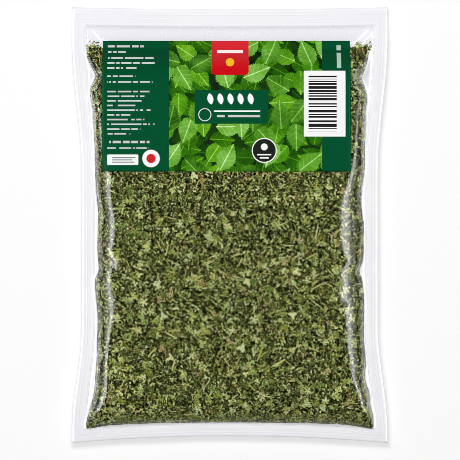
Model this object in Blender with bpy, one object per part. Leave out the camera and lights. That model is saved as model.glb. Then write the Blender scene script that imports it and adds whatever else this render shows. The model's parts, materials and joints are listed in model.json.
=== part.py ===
"""A clear pouch of dried, rubbed parsley, lying on its back.

Two panels of clear film are welded together along both sides, the bottom and
the top. Between them is the packed parsley: a mass of fine crumbs, with the
larger leaf flakes and stem pieces lying on it, against the front film. A paper
label is stuck to the front panel.

The frame: +Z is up, out of the front panel. +Y runs to the pouch's top. The
origin is on the surface that the pouch lies on, under the middle of its
outline. All sizes are in metres.
"""

import math

import bpy
from mathutils import Vector

# The pouch, as a flat sheet of film
POUCH_WIDTH = 0.300
POUCH_HEIGHT = 0.4136
SIDE_SEAL = 0.0124
BOTTOM_SEAL = 0.0120
TOP_SEAL = 0.0176
FILM = 0.00015

# How the fill draws the outline in
WAIST = 0.0093
WAIST_FROM_TOP = (0.030, 0.155)
WAIST_FROM_BOTTOM = (0.010, 0.110)
TOP_SAG = 0.0019
BOTTOM_SAG = 0.0066

# The filled shape, measured from the level of the seals
SEAL_LEVEL = 0.0180
FRONT_RISE = 0.0200
CROWN = 0.0030
SIDE_WALL = 0.0240
SIDE_WALL_BY_LABEL = 0.0125
LABEL_HOLDS_WALL = (0.030, 0.070)
BOTTOM_WALL = 0.0220
TOP_WALL = 0.0500
EMPTY_TOP = 0.0190
SIDE_DROOP = 0.0020
BOTTOM_DROOP = 0.0025
TOP_DROOP = 0.0070

# Gaps between the pieces, and the layer that holds the larger pieces
CLEARANCE = 0.0004
FLAKE_LAYER = 0.0024
FILL_INSET = 0.0022

# The label: left, right, bottom and top edges, then its thickness
LABEL_LEFT = -0.1209
LABEL_RIGHT = 0.1152
LABEL_BOTTOM = 0.0517
LABEL_TOP = 0.1754
LABEL_THICKNESS = 0.00015
LABEL_ROWS = 15
LABEL_EDGE_STEP = 0.0016
LABEL_LEFT_COLUMNS = 9
LABEL_RIGHT_COLUMNS = 6
LABEL_WIDE_COLUMNS = 6

# The larger leaf flakes: depths are below the film's inner face, shares are of the radius
FLAKE_THICKNESS = 0.0003
FLAKE_POINTS = 18
FLAKE_RIM_DEPTH = 0.0002
FLAKE_MIDDLE_DEPTH = 0.0007
FLAKE_LOBES = 3
FLAKE_BODY_SHARE = 0.80
FLAKE_LOBE_SHARE = 0.22
FLAKE_TOOTH_SHARE = 0.08

# The stem pieces: the bend is a share of the length, the taper a share of the radius
STEM_RADIUS = 0.00055
STEM_DEPTH = 0.0002
STEM_BEND = 0.06
STEM_TAPER = 0.35
STEM_SIDES = 6
STEM_STATIONS = 6

HALF_WIDTH = POUCH_WIDTH / 2 - WAIST
HALF_HEIGHT = POUCH_HEIGHT / 2

# The film's grid lines: on the walls as shares of the wall, elsewhere in metres from the edge
SIDE_WALL_LINES = (0.06, 0.16, 0.27, 0.39, 0.53, 0.70, 0.88)
BOTTOM_WALL_LINES = (0.1, 0.3, 0.52, 0.76)
TOP_WALL_LINES = (1.0, 0.78, 0.58, 0.4, 0.24, 0.1)
LEVEL_COLUMNS = (0.042, 0.065, 0.090, 0.115)
LEVEL_ROWS = (0.038, 0.065, 0.100, 0.140, 0.180, 0.215, 0.236, 0.245, 0.254, 0.263, 0.272, 0.300)
TOP_OF_FILL = TOP_SEAL + EMPTY_TOP
SLOPE_STEP = 0.0005

# Leaf flakes against the front film: place across, place up, radius, turn in degrees
LEAF_FLAKES = (
    (-0.085, 0.010, 0.0046, 20),
    (-0.078, -0.020, 0.0050, 75),
    (-0.090, -0.049, 0.0044, 140),
    (-0.068, -0.056, 0.0048, 200),
    (-0.081, -0.073, 0.0050, 310),
    (-0.035, -0.086, 0.0053, 15),
    (-0.070, -0.101, 0.0052, 250),
    (-0.023, -0.100, 0.0049, 95),
    (-0.096, -0.135, 0.0044, 50),
    (-0.077, -0.139, 0.0051, 160),
    (-0.102, -0.166, 0.0049, 10),
    (-0.011, -0.160, 0.0054, 120),
    (-0.047, 0.001, 0.0048, 220),
    (-0.020, -0.010, 0.0046, 330),
    (0.031, 0.022, 0.0047, 65),
    (0.059, -0.053, 0.0051, 180),
    (0.050, -0.083, 0.0052, 280),
    (0.065, -0.069, 0.0046, 35),
    (0.023, -0.089, 0.0048, 130),
    (0.011, -0.116, 0.0050, 205),
    (0.086, -0.012, 0.0050, 90),
    (0.085, -0.151, 0.0053, 345),
    (0.101, -0.162, 0.0047, 110),
    (0.072, -0.169, 0.0049, 240),
)

# Stem pieces against the front film: place across, place up, length, turn in degrees
STEM_PIECES = (
    (-0.059, -0.024, 0.0105, 80),
    (-0.055, -0.104, 0.0120, 155),
    (-0.053, -0.132, 0.0110, 70),
    (-0.088, -0.146, 0.0085, 50),
    (-0.017, -0.030, 0.0095, 25),
    (-0.027, -0.056, 0.0090, 100),
    (-0.087, -0.160, 0.0090, 150),
    (-0.092, -0.173, 0.0085, 135),
    (-0.073, -0.120, 0.0115, 42),
    (0.050, 0.001, 0.0105, 28),
    (0.077, -0.029, 0.0120, 30),
    (0.020, -0.152, 0.0115, 128),
    (0.028, -0.122, 0.0140, 75),
    (0.046, -0.130, 0.0135, 33),
    (0.092, -0.108, 0.0125, 35),
    (0.079, -0.117, 0.0105, 152),
)


def clear_scene():
    for obj in list(bpy.data.objects):
        bpy.data.objects.remove(obj, do_unlink=True)


def material(name, colour, roughness, alpha=1.0):
    """A plain finish: its colour, how rough it is and how much it covers."""
    made = bpy.data.materials.new(name)
    made.use_nodes = True
    shader = made.node_tree.nodes["Principled BSDF"]
    shader.inputs["Base Color"].default_value = (*colour, 1.0)
    shader.inputs["Roughness"].default_value = roughness
    shader.inputs["Metallic"].default_value = 0.0
    shader.inputs["Alpha"].default_value = alpha
    return made


def smooth(value, low, high):
    """0 below low, 1 above high, and an easy slope between them."""
    t = min(1.0, max(0.0, (value - low) / (high - low)))
    return t * t * (3 - 2 * t)


def rise(t):
    """A wall's height, 0 to 1: steep where it leaves the seal, level where it ends."""
    t = min(1.0, max(0.0, t))
    return 1 - (1 - t) ** 3


def half_width(v):
    """Half the pouch's width at v, which runs from -1 at the bottom to 1 at the top."""
    from_top = (1 - v) * HALF_HEIGHT
    from_bottom = (1 + v) * HALF_HEIGHT
    drawn_in = smooth(from_top, *WAIST_FROM_TOP) * smooth(from_bottom, *WAIST_FROM_BOTTOM)
    return POUCH_WIDTH / 2 - WAIST * drawn_in


def half_height(u, v):
    """Half the pouch's height at u, which runs from -1 at the left to 1 at the right."""
    sag = TOP_SAG if v > 0 else BOTTOM_SAG
    return HALF_HEIGHT - sag * (1 - u * u)


def plan(u, v):
    """Where the film's point (u, v) lies, seen from above."""
    return u * half_width(v), v * half_height(u, v)


def unplan(x, y):
    """The film's point (u, v) that lies at (x, y), seen from above."""
    u, v = x / HALF_WIDTH, y / HALF_HEIGHT
    for _ in range(8):
        u = x / half_width(v)
        v = y / half_height(u, v)
    return u, v


def side_wall(v):
    """The width of the walls at the sides, which the stiff label holds steeper beside it."""
    held = smooth(v * HALF_HEIGHT, *LABEL_HOLDS_WALL)
    return SIDE_WALL + (SIDE_WALL_BY_LABEL - SIDE_WALL) * held


def fullness(u, v):
    """0 where the two films lie together, 1 where the fill has its whole depth."""
    from_side = (1 - abs(u)) * HALF_WIDTH - SIDE_SEAL
    from_bottom = (1 + v) * HALF_HEIGHT - BOTTOM_SEAL
    from_top = (1 - v) * HALF_HEIGHT - TOP_OF_FILL
    return (
        rise(from_side / side_wall(v))
        * rise(from_bottom / BOTTOM_WALL)
        * rise(from_top / TOP_WALL)
    )


def seal_level(u, v):
    """The height of the seals, which hang a little lower towards the pouch's edges."""
    side = 1 - smooth((1 - abs(u)) * HALF_WIDTH, 0, SIDE_SEAL)
    bottom = 1 - smooth((1 + v) * HALF_HEIGHT, 0, BOTTOM_SEAL)
    top = 1 - smooth((1 - v) * HALF_HEIGHT, 0, TOP_OF_FILL)
    return SEAL_LEVEL - SIDE_DROOP * side - BOTTOM_DROOP * bottom - TOP_DROOP * top


def back_level(u, v):
    """The outer face of the back film, which is flat on the surface below the fill."""
    return seal_level(u, v) * (1 - fullness(u, v))


def front_level(u, v):
    """The outer face of the front film, with a slight crown across the fill."""
    together = seal_level(u, v) + 2 * FILM + CLEARANCE
    crown = CROWN * (1 - u * u) * (1 - v * v)
    return together + (FRONT_RISE + crown) * fullness(u, v)


def front_at(x, y):
    return front_level(*unplan(x, y))


def across():
    """The film's columns, close together on the side walls, from left to right."""
    seal = [0.0, SIDE_SEAL / 2, SIDE_SEAL, SIDE_SEAL + FILL_INSET]
    wall = [SIDE_SEAL + FILL_INSET + SIDE_WALL * share for share in SIDE_WALL_LINES]
    left = [-1 + d / HALF_WIDTH for d in (*seal, *wall, *LEVEL_COLUMNS)]
    return left + [0.0] + [-u for u in reversed(left)]


def upwards():
    """The film's rows, from bottom to top."""
    seal = [0.0, BOTTOM_SEAL / 2, BOTTOM_SEAL, BOTTOM_SEAL + FILL_INSET]
    wall = [BOTTOM_SEAL + FILL_INSET + BOTTOM_WALL * share for share in BOTTOM_WALL_LINES]
    slope = [TOP_OF_FILL + TOP_WALL * share for share in TOP_WALL_LINES]
    empty = [TOP_OF_FILL, (TOP_OF_FILL + TOP_SEAL) / 2, TOP_SEAL, TOP_SEAL / 2, 0.0]
    rows = [-1 + d / HALF_HEIGHT for d in (*seal, *wall, *LEVEL_ROWS)]
    return rows + [1 - d / HALF_HEIGHT for d in (*slope, *empty)]


def grid_faces(columns, rows, start=0, down=False):
    """Quads over a grid of points that were made row by row, facing up or down."""
    faces = []
    for j in range(rows - 1):
        for i in range(columns - 1):
            a = start + j * columns + i
            face = (a, a + 1, a + columns + 1, a + columns)
            faces.append(face[::-1] if down else face)
    return faces


def rim(columns, rows):
    """The grid's outer points in order, anticlockwise from its first point."""
    bottom = list(range(columns))
    right = [j * columns + columns - 1 for j in range(1, rows)]
    top = [(rows - 1) * columns + i for i in range(columns - 2, -1, -1)]
    left = [j * columns for j in range(rows - 2, 0, -1)]
    return bottom + right + top + left


def add_object(name, points, faces, finish, sharp_angle=50):
    mesh = bpy.data.meshes.new(name)
    mesh.from_pydata(points, [], faces)
    mesh.validate()
    obj = bpy.data.objects.new(name, mesh)
    bpy.context.scene.collection.objects.link(obj)
    mesh.materials.append(finish)
    mesh.shade_smooth()
    mesh.set_sharp_from_angle(angle=math.radians(sharp_angle))
    return obj


def film(name, level, down, finish):
    """One panel of film, from its outer face. The thickness goes inwards."""
    columns, rows = across(), upwards()
    points = [(*plan(u, v), level(u, v)) for v in rows for u in columns]
    faces = grid_faces(len(columns), len(rows), down=down)
    obj = add_object(name, points, faces, finish)
    thickness = obj.modifiers.new("film_thickness", "SOLIDIFY")
    thickness.thickness = FILM
    thickness.offset = -1
    thickness.use_even_offset = True
    return obj


def between(first, second, columns_or_rows):
    """The grid lines from first to second, both included."""
    return [k for k in columns_or_rows if first - 1e-6 <= k <= second + 1e-6]


def steepness(level, u, v):
    """How much longer a vertical gap is than the gap square to the surface."""
    du, dv = SLOPE_STEP / HALF_WIDTH, SLOPE_STEP / HALF_HEIGHT
    across_slope = (level(u + du, v) - level(u - du, v)) / (2 * SLOPE_STEP)
    up_slope = (level(u, v + dv) - level(u, v - dv)) / (2 * SLOPE_STEP)
    return math.sqrt(1 + across_slope**2 + up_slope**2)


def parsley_crumbs(finish):
    """The packed mass of fine crumbs, a closed body just inside both films."""
    side = 1 - (SIDE_SEAL + FILL_INSET) / HALF_WIDTH
    bottom = -1 + (BOTTOM_SEAL + FILL_INSET) / HALF_HEIGHT
    top = 1 - (TOP_OF_FILL + TOP_WALL_LINES[-1] * TOP_WALL) / HALF_HEIGHT
    columns = between(-side, side, across())
    rows = between(bottom, top, upwards())
    inside = FILM + CLEARANCE
    upper, lower = [], []
    for v in rows:
        for u in columns:
            x, y = plan(u, v)
            layer = FLAKE_LAYER * fullness(u, v)
            upper.append(
                (x, y, front_level(u, v) - inside * steepness(front_level, u, v) - layer)
            )
            lower.append((x, y, back_level(u, v) + inside * steepness(back_level, u, v)))
    count = len(upper)
    faces = grid_faces(len(columns), len(rows))
    faces += grid_faces(len(columns), len(rows), start=count, down=True)
    edge = rim(len(columns), len(rows))
    for a, b in zip(edge, edge[1:] + edge[:1]):
        faces.append((a, count + a, count + b, b))
    return add_object("parsley_crumbs", upper + lower, faces, finish)


def label(finish):
    """The paper label, which bends with the film that it is stuck to."""
    left = [LABEL_LEFT + LABEL_EDGE_STEP * k for k in range(LABEL_LEFT_COLUMNS)]
    right = [LABEL_RIGHT - LABEL_EDGE_STEP * k for k in range(LABEL_RIGHT_COLUMNS)]
    step = (right[-1] - left[-1]) / LABEL_WIDE_COLUMNS
    middle = [left[-1] + step * k for k in range(1, LABEL_WIDE_COLUMNS)]
    columns = left + middle + right[::-1]
    row_height = (LABEL_TOP - LABEL_BOTTOM) / LABEL_ROWS
    rows = [LABEL_BOTTOM + row_height * k for k in range(LABEL_ROWS + 1)]
    points = []
    for y in rows:
        for x in columns:
            u, v = unplan(x, y)
            lift = (CLEARANCE + LABEL_THICKNESS) * steepness(front_level, u, v)
            points.append((x, y, front_level(u, v) + lift))
    obj = add_object("label", points, grid_faces(len(columns), len(rows)), finish)
    thickness = obj.modifiers.new("paper_thickness", "SOLIDIFY")
    thickness.thickness = LABEL_THICKNESS
    thickness.offset = -1
    return obj


def leaf_outline(radius, turn):
    """Three lobes with small teeth, as a broken leaf tip has."""
    outline = []
    for k in range(FLAKE_POINTS):
        angle = 2 * math.pi * k / FLAKE_POINTS
        lobes = FLAKE_BODY_SHARE + FLAKE_LOBE_SHARE * math.cos(FLAKE_LOBES * angle)
        teeth = FLAKE_TOOTH_SHARE * (1 if k % 2 else -1)
        reach = radius * (lobes + teeth)
        outline.append((reach * math.cos(angle + turn), reach * math.sin(angle + turn)))
    return outline


def leaf_flake(name, x, y, radius, turn, finish):
    """One leaf flake, a thin cupped plate that follows the film above it."""
    outline = leaf_outline(radius, math.radians(turn))
    ring = [(x + dx, y + dy) for dx, dy in outline]
    inside = FILM + CLEARANCE
    upper = [(px, py, front_at(px, py) - inside - FLAKE_RIM_DEPTH) for px, py in ring]
    upper.append((x, y, front_at(x, y) - inside - FLAKE_MIDDLE_DEPTH))
    lower = [(px, py, pz - FLAKE_THICKNESS) for px, py, pz in upper]
    count, centre = len(upper), len(upper) - 1
    faces = []
    for k in range(FLAKE_POINTS):
        following = (k + 1) % FLAKE_POINTS
        faces.append((centre, k, following))
        faces.append((count + centre, count + following, count + k))
        faces.append((k, count + k, count + following, following))
    return add_object(name, upper + lower, faces, finish)


def stem_piece(name, x, y, length, turn, finish):
    """One broken stem, a thin rod with a slight bend and narrower ends."""
    along = Vector((math.cos(math.radians(turn)), math.sin(math.radians(turn)), 0))
    aside = Vector((-along.y, along.x, 0))
    depth = FILM + CLEARANCE + STEM_RADIUS + STEM_DEPTH
    points = []
    for k in range(STEM_STATIONS):
        t = 2 * k / (STEM_STATIONS - 1) - 1
        bend = STEM_BEND * length * (1 - t * t)
        place = Vector((x, y, 0)) + along * (t * length / 2) + aside * bend
        height = front_at(place.x, place.y) - depth
        reach = STEM_RADIUS * (1 - STEM_TAPER * t * t)
        for side in range(STEM_SIDES):
            angle = 2 * math.pi * side / STEM_SIDES
            out = aside * (reach * math.cos(angle))
            points.append((*(place + out).xy, height + reach * math.sin(angle)))
    faces = []
    for k in range(STEM_STATIONS - 1):
        for side in range(STEM_SIDES):
            a = k * STEM_SIDES + side
            b = k * STEM_SIDES + (side + 1) % STEM_SIDES
            faces.append((a, b, b + STEM_SIDES, a + STEM_SIDES))
    last = (STEM_STATIONS - 1) * STEM_SIDES
    faces.append(tuple(reversed(range(STEM_SIDES))))
    faces.append(tuple(last + side for side in range(STEM_SIDES)))
    return add_object(name, points, faces, finish)


def main():
    clear_scene()
    clear_film = material("clear_film", (0.88, 0.89, 0.92), 0.12, alpha=0.25)
    printed_paper = material("printed_paper", (0.02, 0.10, 0.04), 0.35)
    leaf = material("dried_leaf", (0.14, 0.17, 0.04), 0.75)
    stem = material("dried_stem", (0.40, 0.38, 0.12), 0.70)
    crumbs = material("leaf_crumbs", (0.09, 0.11, 0.03), 0.85)

    film("front_film", front_level, False, clear_film)
    film("back_film", back_level, True, clear_film)
    parsley_crumbs(crumbs)
    label(printed_paper)
    for number, flake in enumerate(LEAF_FLAKES, 1):
        leaf_flake(f"leaf_flake_{number:02d}", *flake, leaf)
    for number, piece in enumerate(STEM_PIECES, 1):
        stem_piece(f"stem_piece_{number:02d}", *piece, stem)


main()
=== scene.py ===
"""A clear film pouch of dried, rubbed parsley with a printed label, lying on its back.

The camera looks straight down on it. All sizes are in metres, +Y runs to the pouch's top and +Z is up.
"""

import json
import math

import bpy
import numpy as np
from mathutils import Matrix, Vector

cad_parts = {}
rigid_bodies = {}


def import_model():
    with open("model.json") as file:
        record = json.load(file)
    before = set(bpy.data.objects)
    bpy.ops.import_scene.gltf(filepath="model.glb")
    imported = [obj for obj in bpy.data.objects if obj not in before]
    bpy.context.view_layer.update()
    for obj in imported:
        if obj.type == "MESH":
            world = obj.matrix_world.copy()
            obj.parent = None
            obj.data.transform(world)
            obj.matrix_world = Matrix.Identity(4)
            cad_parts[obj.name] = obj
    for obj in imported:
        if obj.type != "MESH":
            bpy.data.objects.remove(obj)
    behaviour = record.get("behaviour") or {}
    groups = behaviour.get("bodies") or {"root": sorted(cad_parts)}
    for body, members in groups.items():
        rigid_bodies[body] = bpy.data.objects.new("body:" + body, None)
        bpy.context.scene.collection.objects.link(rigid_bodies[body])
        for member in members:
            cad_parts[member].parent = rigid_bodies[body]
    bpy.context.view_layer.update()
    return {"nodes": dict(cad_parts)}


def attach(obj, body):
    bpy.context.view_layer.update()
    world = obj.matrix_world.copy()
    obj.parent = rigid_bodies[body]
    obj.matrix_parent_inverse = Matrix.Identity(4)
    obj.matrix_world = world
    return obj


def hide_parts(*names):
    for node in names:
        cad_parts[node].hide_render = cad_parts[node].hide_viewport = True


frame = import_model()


# The back panel of the pouch. It is a sheet of clear laminated film, 0.15 mm thick and cut to 300 x 414 mm.
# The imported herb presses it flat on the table, and hot bars weld its margins to the front panel on all
# four sides, so that the filled pouch is drawn in at the waist.
FLAT_SIZE = (0.300, 0.4136)
FILM = 0.00015
GAP = 0.0004
SIDE_SEAL = 0.0124
BOTTOM_SEAL = 0.0120
TOP_SEAL = 0.0176
WELD_PAST_TOP_SEAL = 0.0008
WELD_EDGE = (-0.0004, 0.0006)
EMPTY_TOP = 0.0190
WAIST = 0.0093
WAIST_FROM_TOP = (0.030, 0.155)
WAIST_FROM_BOTTOM = (0.010, 0.110)
TOP_SAG = 0.0019
BOTTOM_SAG = 0.0066
SEAL_LEVEL = 0.0180
FRONT_RISE = 0.0200
SETTLED = 0.0008
CROWN = 0.0030
BOTTOM_WALL = 0.0340
TOP_WALL = 0.0500
SIDE_DROOP = 0.0006
BOTTOM_DROOP = 0.0010
TOP_DROOP = 0.0070
FLUTTER = 0.0005
TOP_FLUTTER = 0.0009
HALF_WIDTH = FLAT_SIZE[0] / 2 - WAIST
HALF_HEIGHT = FLAT_SIZE[1] / 2
TOP_OF_FILL = TOP_SEAL + EMPTY_TOP

# How wide each side wall is, from the seal to the level part, at places up the pouch
LEFT_WALL = (
    (-0.19, 0.014), (-0.153, 0.015), (-0.128, 0.0132), (-0.11, 0.015), (-0.071, 0.022), (-0.052, 0.0195),
    (-0.0435, 0.0172), (-0.037, 0.0242), (-0.03, 0.0263), (-0.0245, 0.0185), (-0.017, 0.0205),
    (-0.0026, 0.0216), (0.009, 0.0193), (0.024, 0.0175), (0.052, 0.0172), (0.07, 0.0105), (0.1, 0.0085),
    (0.15, 0.0085), (0.18, 0.0125),
)
RIGHT_WALL = (
    (-0.19, 0.012), (-0.173, 0.011), (-0.165, 0.0118), (-0.158, 0.0142), (-0.147, 0.0152), (-0.127, 0.0202),
    (-0.102, 0.0218), (-0.078, 0.027), (-0.068, 0.0322), (-0.057, 0.0269), (-0.05, 0.0261), (-0.036, 0.0203),
    (-0.0197, 0.0293), (-0.008, 0.0306), (0.008, 0.0283), (0.024, 0.0237), (0.045, 0.0179), (0.07, 0.013),
    (0.1, 0.0105), (0.15, 0.01), (0.18, 0.0125),
)
# Where the walls stand back from the side seals, so that a dent of film shows between seal and herb
LEFT_DENT = (
    (-0.192, 0.0), (-0.185, 0.0008), (-0.175, 0.0026), (-0.166, 0.0044), (-0.156, 0.005), (-0.143, 0.0044),
    (-0.128, 0.0038), (-0.11, 0.0028), (-0.082, 0.0025), (-0.066, 0.0009), (-0.052, 0.0004),
    (-0.0435, 0.0038), (-0.036, 0.0034), (-0.025, 0.0027), (-0.003, 0.003), (0.012, 0.0034), (0.024, 0.0022),
    (0.052, 0.0005), (0.076, 0.0008), (0.096, 0.0012), (0.108, 0.002), (0.119, 0.0012), (0.127, 0.001),
    (0.137, 0.0052), (0.142, 0.0074), (0.148, 0.0048), (0.154, 0.0026), (0.16, 0.0008), (0.17, 0.0),
)
RIGHT_DENT = (
    (-0.19, 0.0), (-0.181, 0.0002), (-0.173, 0.0017), (-0.158, 0.0019), (-0.1504, 0.0036), (-0.1428, 0.0038),
    (-0.1352, 0.002), (-0.112, 0.0012), (-0.0895, 0.0008), (-0.0666, 0.001), (-0.059, 0.0019),
    (-0.0514, 0.0028), (-0.0438, 0.0052), (-0.0362, 0.0026), (-0.0286, 0.0014), (-0.0133, 0.0014),
    (0.0019, 0.0011), (0.0095, 0.0024), (0.0171, 0.0033), (0.0248, 0.0034), (0.04, 0.0022), (0.052, 0.0003),
    (0.076, 0.001), (0.096, 0.0018), (0.108, 0.003), (0.122, 0.0028), (0.13, 0.0056), (0.141, 0.0092),
    (0.147, 0.0072), (0.156, 0.0052), (0.162, 0.0044), (0.17, 0.0012),
)
# How far the herb's lower edge stands back from the bottom seal, at places across the pouch
BOTTOM_DENT = (
    (-0.129, 0.0), (-0.1265, 0.0001), (-0.1205, 0.0006), (-0.112, 0.0018), (-0.098, 0.0021), (-0.08, 0.002),
    (-0.05, 0.0016), (0.0, 0.0012), (0.05, 0.0016), (0.08, 0.0022), (0.098, 0.0024), (0.112, 0.0016),
    (0.1205, 0.0004), (0.1265, 0.0), (0.129, 0.0),
)


def ease(value, low, high):
    """0 below low, 1 above high, and an easy slope between them."""
    t = np.clip((value - low) / (high - low), 0, 1)
    return t * t * (3 - 2 * t)


def through(stations, place):
    """A smooth line through given (place, value) pairs."""
    places, values = np.array(stations).T
    slopes = np.gradient(values, places)
    k = np.clip(np.searchsorted(places, place) - 1, 0, len(places) - 2)
    span = places[k + 1] - places[k]
    t = np.clip((place - places[k]) / span, 0, 1)
    start = (1 + 2 * t) * (1 - t) ** 2 * values[k] + t * (1 - t) ** 2 * span * slopes[k]
    return start + t * t * (3 - 2 * t) * values[k + 1] - t * t * (1 - t) * span * slopes[k + 1]


def ripple(x, y, wavelength, seed):
    """Soft random hills and hollows, about -1 to 1, of one size."""
    draw = np.random.default_rng(seed)
    height = np.zeros(np.broadcast(x, y).shape)
    waves = 9
    for _ in range(waves):
        turn, phase = draw.uniform(0, 2 * math.pi), draw.uniform(0, 2 * math.pi)
        step = 2 * math.pi / (wavelength * draw.uniform(0.7, 1.5))
        height += np.sin(step * (x * math.cos(turn) + y * math.sin(turn)) + phase)
    return height / math.sqrt(waves)


def half_width(v):
    from_top, from_bottom = (1 - v) * HALF_HEIGHT, (1 + v) * HALF_HEIGHT
    drawn_in = ease(from_top, *WAIST_FROM_TOP) * ease(from_bottom, *WAIST_FROM_BOTTOM)
    return FLAT_SIZE[0] / 2 - WAIST * drawn_in


def half_height(u, v):
    return HALF_HEIGHT - np.where(v > 0, TOP_SAG, BOTTOM_SAG) * (1 - u * u)


def plan(u, v):
    """Where the film's point lies, seen from above. u and v run from -1 to 1, left to right and upwards."""
    return u * half_width(v), v * half_height(u, v)


def unplan(x, y):
    """The u and v of a place seen from above, found in a few rounds."""
    u, v = x / HALF_WIDTH, y / HALF_HEIGHT
    for _ in range(8):
        u, v = x / half_width(v), y / half_height(u, v)
    return u, v


def from_edges(u, v):
    """How far a place is from the nearer side edge, the bottom edge and the top edge."""
    return (1 - np.abs(u)) * HALF_WIDTH, (1 + v) * HALF_HEIGHT, (1 - v) * HALF_HEIGHT


def side_dent(u, v):
    y = v * HALF_HEIGHT
    return np.where(u < 0, through(LEFT_DENT, y), through(RIGHT_DENT, y))


def fullness(u, v):
    """0 where the two films lie together, 1 where the herb has its whole depth."""
    side, bottom, top = from_edges(u, v)
    y = v * HALF_HEIGHT
    wall = np.where(u < 0, through(LEFT_WALL, y), through(RIGHT_WALL, y))
    side = (side - SIDE_SEAL - side_dent(u, v)) / wall
    bottom = (bottom - BOTTOM_SEAL - through(BOTTOM_DENT, u * HALF_WIDTH)) / BOTTOM_WALL
    top = (top - TOP_OF_FILL) / TOP_WALL
    full = ease(top, -0.05, 0.30)
    for share in (side, bottom, top):
        full = full * (1 - (1 - np.clip(share, 0, 1)) ** 3)
    return full


def seal_level(u, v):
    """The height of the seals, which hang a little lower outwards and flutter along their edges."""
    widths = (SIDE_SEAL, BOTTOM_SEAL, TOP_OF_FILL)
    side, bottom, top = (1 - ease(far, 0, width) for far, width in zip(from_edges(u, v), widths))
    x, y = plan(u, v)
    flutter = FLUTTER * side * np.sin(y / 0.011 + 2 * np.sign(u)) + FLUTTER * bottom * np.sin(x / 0.014)
    flutter = flutter + TOP_FLUTTER * top * ripple(x, y * 0.6, 0.085, 3)
    return SEAL_LEVEL - SIDE_DROOP * side - BOTTOM_DROOP * bottom - TOP_DROOP * top + flutter


def back_level(u, v):
    """The outer face of the back film."""
    return seal_level(u, v) * (1 - fullness(u, v))


def slopes_of(level, u, v):
    """How steep a face is across the pouch and up it."""
    step = 0.0004
    du, dv = step / HALF_WIDTH, step / HALF_HEIGHT
    across = (level(u + du, v) - level(u - du, v)) / (2 * step)
    return across, (level(u, v + dv) - level(u, v - dv)) / (2 * step)


def grid_lines(length, zones):
    """Places from one edge to the other, close together where a zone asks for it, as shares from -1 to 1."""
    places, start = [0.0], 0.0
    for end, step in zones:
        count = max(1, round((end - start) / step))
        places += [start + (end - start) * k / count for k in range(1, count + 1)]
        start = end
    return np.array(places) * 2 / length - 1


def film_columns(fine):
    near = ((SIDE_SEAL, 1.8 * fine), (SIDE_SEAL + 0.036, 0.8 * fine), (HALF_WIDTH, 2.6 * fine))
    left = grid_lines(2 * HALF_WIDTH, near)
    return np.concatenate([left, -left[-2::-1]])


def film_rows(fine):
    length = 2 * HALF_HEIGHT
    return grid_lines(length, (
        (BOTTOM_SEAL, 1.8 * fine), (BOTTOM_SEAL + 0.024, fine), (length - TOP_OF_FILL - TOP_WALL, 2.5 * fine),
        (length - TOP_OF_FILL, 1.8 * fine), (length - TOP_SEAL, 0.7 * fine), (length, 1.8 * fine),
    ))


def add_object(name, data):
    made = bpy.data.objects.new(name, data)
    bpy.context.scene.collection.objects.link(made)
    return made


def add_number(mesh, key, values):
    """Keeps a number for each point of a mesh."""
    mesh.attributes.new(key, "FLOAT", "POINT").data.foreach_set("value", np.array(values, "f"))


def grid_faces(rows, columns):
    """The point numbers of a grid, and its four-cornered faces."""
    corner = np.arange(rows * columns).reshape(rows, columns)
    faces = np.stack([corner[:-1, :-1], corner[:-1, 1:], corner[1:, 1:], corner[1:, :-1]], -1)
    return corner, faces.reshape(-1, 4)


def sheet_of(name, outer, inner, numbers):
    """A closed thin sheet from two grids of points. numbers are values on the outer face."""
    rows, columns = outer.shape[:2]
    count = rows * columns
    corner, faces = grid_faces(rows, columns)
    up = np.cross(outer[0, 1] - outer[0, 0], outer[1, 0] - outer[0, 0]) @ (outer[0, 0] - inner[0, 0]) > 0
    rim = np.concatenate([corner[0, :-1], corner[:-1, -1], corner[-1, :0:-1], corner[:0:-1, 0]])
    after = np.roll(rim, -1)
    walls = np.stack([rim, rim + count, after + count, after], -1)
    quads = np.concatenate([faces, faces[:, ::-1] + count, walls])
    quads = quads if up else quads[:, ::-1]
    points = np.concatenate([outer.reshape(-1, 3), inner.reshape(-1, 3)])
    mesh = bpy.data.meshes.new(name)
    mesh.from_pydata(points.tolist(), [], quads.tolist())
    mesh.shade_smooth()
    for key, value in numbers.items():
        value = value.ravel()
        add_number(mesh, key, np.concatenate([value, 0 * value]))
    return add_object(name, mesh)


def film_panel(name, level, outwards, fine):
    """One panel of film. Its numbers say where it is welded, how far from its edge and how full it is."""
    u, v = np.meshgrid(film_columns(fine), film_rows(fine))
    x, y = plan(u, v)
    outer = np.stack([x, y, level(u, v)], -1)
    across, upwards = slopes_of(level, u, v)
    normal = np.stack([-across, -upwards, np.ones_like(x)], -1) * outwards
    normal /= np.linalg.norm(normal, axis=-1, keepdims=True)
    side, bottom, top = from_edges(u, v)
    inside = np.minimum(side - SIDE_SEAL, bottom - BOTTOM_SEAL)
    inside = np.minimum(inside, top - TOP_SEAL + WELD_PAST_TOP_SEAL)
    from_edge = np.where(bottom - BOTTOM_SEAL <= inside, bottom, top)
    from_edge = np.where(side - SIDE_SEAL <= inside, side, from_edge)
    numbers = {"weld": 1 - ease(inside, *WELD_EDGE), "from_edge": from_edge, "full": fullness(u, v)}
    return sheet_of(name, outer, outer - normal * FILM, numbers)


def linear(code):
    """The linear colour of an sRGB hex code."""
    parts = [int(code[k:k + 2], 16) / 255 for k in (1, 3, 5)]
    return (*[c / 12.92 if c <= 0.04045 else ((c + 0.055) / 1.055) ** 2.4 for c in parts], 1.0)


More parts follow.
